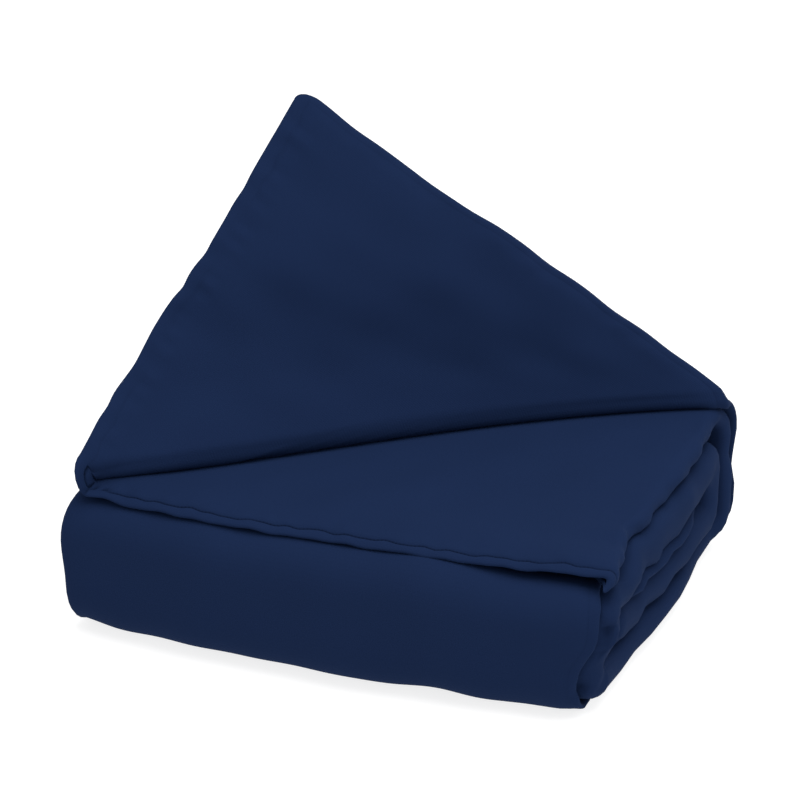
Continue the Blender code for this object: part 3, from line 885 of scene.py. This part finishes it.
def blanket_mesh():
    """Closed mesh: both faces of the cloth, sharing the vertices of its outer edge."""
    upper, lower, flat = cloth_grid()
    rows, columns = flat.shape[:2]
    notes = [np.concatenate((flat[..., :3], flat[..., k:k + 1]), axis=-1) for k in (3, 4)]
    upper_index = np.arange(rows * columns).reshape(rows, columns)
    lower_index = upper_index + rows * columns
    edge = np.zeros((rows, columns), bool)
    edge[[0, -1], :] = True
    edge[:, [0, -1]] = True
    middle = (upper + lower) / 2
    upper = np.where(edge[..., None], middle, upper)
    lower_index = np.where(edge, upper_index, lower_index)
    vertices = np.concatenate((upper.reshape(-1, 3), lower.reshape(-1, 3)))
    notes = np.concatenate([note.reshape(-1, 4) for note in notes])
    a, b = (slice(0, -1), slice(1, None))
    ring = [(a, a), (b, a), (b, b), (a, b)]
    faces = np.stack([upper_index[k].ravel() for k in ring], axis=-1)
    backs = np.stack([lower_index[k].ravel() for k in reversed(ring)], axis=-1)
    faces = np.concatenate((faces, backs))
    used = np.unique(faces)
    remap = np.full(len(vertices), -1)
    remap[used] = np.arange(len(used))
    return vertices[used], remap[faces], notes[used]


def stack_origin():
    """Where the frame's origin lies on the stack's axes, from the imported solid's box."""
    low, high = (np.array(corner) / METRES_PER_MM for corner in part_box("blanket"))
    outer = LAYER_1_OFFSET + CLOTH_THICKNESS / 2
    left = min(row[PLEAT_COLUMNS.index("left")] for row in PLEATS)
    _, run, radius, _ = ROLL[0]
    _, drop, lower_radius, _ = ROLL[1]
    back = HEM_Y + run + radius + outer
    floor = TOP_PASS_Z - radius - drop - lower_radius - outer
    return np.array((left - low[0], back - high[1], floor - low[2]))


def make_object(name, vertices, faces, material):
    """A smooth mesh object from places in millimetres on the stack's axes, flat on the floor."""
    places = (vertices - stack_origin()) * METRES_PER_MM
    places[:, 2] = np.maximum(places[:, 2], CAD_BOX[0].z)
    mesh = bpy.data.meshes.new(name)
    mesh.from_pydata(places.tolist(), [], faces.tolist())
    mesh.materials.append(material)
    mesh.shade_smooth()
    made = bpy.data.objects.new(name, mesh)
    bpy.context.scene.collection.objects.link(made)
    return made


def new_material(name):
    """A material, its nodes, its links and its shader."""
    material = bpy.data.materials.new(name)
    material.use_nodes = True
    nodes = material.node_tree.nodes
    return material, nodes, material.node_tree.links, nodes["Principled BSDF"]


def set_sockets(node, values):
    """Sets a node's input sockets by name."""
    for name, value in values.items():
        node.inputs[name].default_value = value


def cloth_material():
    """Matt navy cloth: fine plain weave, soft colour variation, a low sheen, and its seam with
    painted shade for the shadow in its stitched groove.
    """
    material, nodes, links, shader = new_material("navy_cloth")
    place = nodes.new("ShaderNodeUVMap")
    place.uv_map = "flat_cloth"

    def texture(kind, **values):
        node = nodes.new(kind)
        links.new(place.outputs["UV"], node.inputs["Vector"])
        set_sockets(node, values)
        return node

    def attribute(name):
        node = nodes.new("ShaderNodeAttribute")
        node.attribute_name = name
        return node.outputs["Fac"]

    def mix_numbers(operation, first, second):
        node = nodes.new("ShaderNodeMath")
        node.operation = operation
        for socket, value in zip(node.inputs, (first, second)):
            if isinstance(value, (int, float)):
                socket.default_value = value
            else:
                links.new(value, socket)
        return node.outputs[0]

    def mix_colours(factor, first, second):
        node = nodes.new("ShaderNodeMix")
        node.data_type = "RGBA"
        links.new(factor, node.inputs["Factor"])
        for socket, value in zip(("A", "B"), (first, second)):
            if isinstance(value, tuple):
                node.inputs[socket].default_value = value
            else:
                links.new(value, node.inputs[socket])
        return node.outputs["Result"]

    fibres = texture("ShaderNodeTexNoise", Scale=FIBRE_SCALE, Detail=FIBRE_DETAIL)
    patches = texture("ShaderNodeTexNoise", Scale=PATCH_SCALE, Detail=PATCH_DETAIL)
    warp = texture("ShaderNodeTexWave", Scale=THREAD_SCALE, Distortion=THREAD_WOBBLE)
    weft = texture("ShaderNodeTexWave", Scale=THREAD_SCALE, Distortion=THREAD_WOBBLE)
    weft.bands_direction = "Y"

    ramp = nodes.new("ShaderNodeValToRGB")
    for stop, (position, colour) in zip(ramp.color_ramp.elements, TONES):
        stop.position, stop.color = position, colour
    fibre_tone = mix_numbers("MULTIPLY", fibres.outputs["Fac"], FIBRE_SHARE)
    patch_tone = mix_numbers("MULTIPLY", patches.outputs["Fac"], PATCH_SHARE)
    links.new(mix_numbers("ADD", fibre_tone, patch_tone), ramp.inputs["Fac"])

    # The seam's painted shade: under its mask the cloth's colour gives way to a dark colour
    # standing in for the groove's shadow between stitches, and to the navy thread darkened by the
    # same painted shade on each stitch.
    turn = mix_numbers("MULTIPLY", attribute("seam_place"), 2 * pi / STITCH_PITCH)
    stitch = mix_numbers("GREATER_THAN", mix_numbers("SINE", turn, 0.0), STITCH_GAP)
    seam = attribute("seam_shade")
    stitch_shade_colour = mix_colours(stitch, SEAM_GROOVE_SHADE, THREAD_IN_SHADE)
    links.new(mix_colours(seam, ramp.outputs["Color"], stitch_shade_colour), shader.inputs["Base Color"])

    weave = mix_numbers("MULTIPLY", warp.outputs["Fac"], weft.outputs["Fac"])
    height = mix_numbers("ADD", weave, fibres.outputs["Fac"])
    raised = mix_numbers("MULTIPLY", mix_numbers("MULTIPLY", stitch, seam), STITCH_BUMP)
    height = mix_numbers("ADD", height, raised)
    bump = nodes.new("ShaderNodeBump")
    set_sockets(bump, {"Strength": BUMP_STRENGTH, "Distance": BUMP_DISTANCE})
    links.new(height, bump.inputs["Height"])
    links.new(bump.outputs["Normal"], shader.inputs["Normal"])

    rough = mix_numbers("MULTIPLY", fibres.outputs["Fac"], ROUGH_SPREAD)
    links.new(mix_numbers("ADD", rough, ROUGH_LEAST), shader.inputs["Roughness"])
    set_sockets(shader, {
        "Specular IOR Level": SPECULAR,
        "Sheen Weight": SHEEN_WEIGHT,
        "Sheen Roughness": SHEEN_ROUGHNESS,
        "Sheen Tint": SHEEN_TINT,
    })
    return material


def make_blanket(material):
    """The blanket, with its flat places as a map, and its seam's place and the painted shade of
    its groove as attributes.
    """
    vertices, faces, notes = blanket_mesh()
    blanket = make_object("folded_blanket", vertices, faces, material)
    layer = blanket.data.uv_layers.new(name="flat_cloth")
    corner = np.zeros(len(blanket.data.loops), np.int32)
    blanket.data.loops.foreach_get("vertex_index", corner)
    layer.data.foreach_set("uv", (notes[corner, :2] * METRES_PER_MM).ravel())
    # The second attribute is the mask of the painted shade in the seam's groove.
    for name, values in (("seam_place", notes[:, 2] * METRES_PER_MM), ("seam_shade", notes[:, 3])):
        attribute = blanket.data.attributes.new(name, "FLOAT", "POINT")
        attribute.data.foreach_set("value", values.astype(np.float32))
    return blanket


def make_stage():
    """A floor that looks white, a white surround and two soft lights."""
    material, _, _, shader = new_material("white_floor")
    set_sockets(shader, {
        "Base Color": FLOOR_COLOUR,
        "Roughness": 1.0,
        "Specular IOR Level": 0.0,
        "Emission Color": WHITE,
        "Emission Strength": FLOOR_GLOW,
    })
    mesh = bpy.data.meshes.new("floor")
    s = FLOOR_HALF
    mesh.from_pydata([(-s, -s, 0), (s, -s, 0), (s, s, 0), (-s, s, 0)], [], [(0, 1, 2, 3)])
    mesh.materials.append(material)
    floor = bpy.data.objects.new("floor", mesh)
    floor.location.z = CAD_BOX[0].z
    bpy.context.scene.collection.objects.link(floor)

    world = bpy.data.worlds.new("white_surround")
    world.use_nodes = True
    background = world.node_tree.nodes["Background"]
    set_sockets(background, {"Color": WHITE, "Strength": WORLD_STRENGTH})
    bpy.context.scene.world = world

    for name, place, size, power in LIGHTS:
        light = bpy.data.lights.new(name, "AREA")
        light.shape = "DISK"
        light.size = size
        light.energy = power
        lamp = bpy.data.objects.new(name, light)
        lamp.location = place
        aim = Vector(CAMERA_TARGET) - Vector(place)
        lamp.rotation_euler = aim.to_track_quat("-Z", "Y").to_euler()
        bpy.context.scene.collection.objects.link(lamp)


def make_camera():
    """The camera at the photograph's view."""
    data = bpy.data.cameras.new("camera")
    data.lens, data.sensor_width = CAMERA_LENS, CAMERA_SENSOR
    data.clip_start, data.clip_end = CAMERA_CLIP
    camera = bpy.data.objects.new("camera", data)
    a, e = radians(CAMERA_AZIMUTH), radians(CAMERA_ELEVATION)
    back = Vector((np.sin(a) * np.cos(e), -np.cos(a) * np.cos(e), np.sin(e)))
    camera.location = Vector(CAMERA_TARGET) + back * CAMERA_DISTANCE
    camera.rotation_euler = back.to_track_quat("Z", "Y").to_euler()
    bpy.context.scene.collection.objects.link(camera)
    bpy.context.scene.camera = camera


make_camera()
make_stage()
cloth = cloth_material()
blanket = make_blanket(cloth)
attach(blanket, "root")
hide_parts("blanket")

bpy.context.scene.view_settings.view_transform = "Standard"
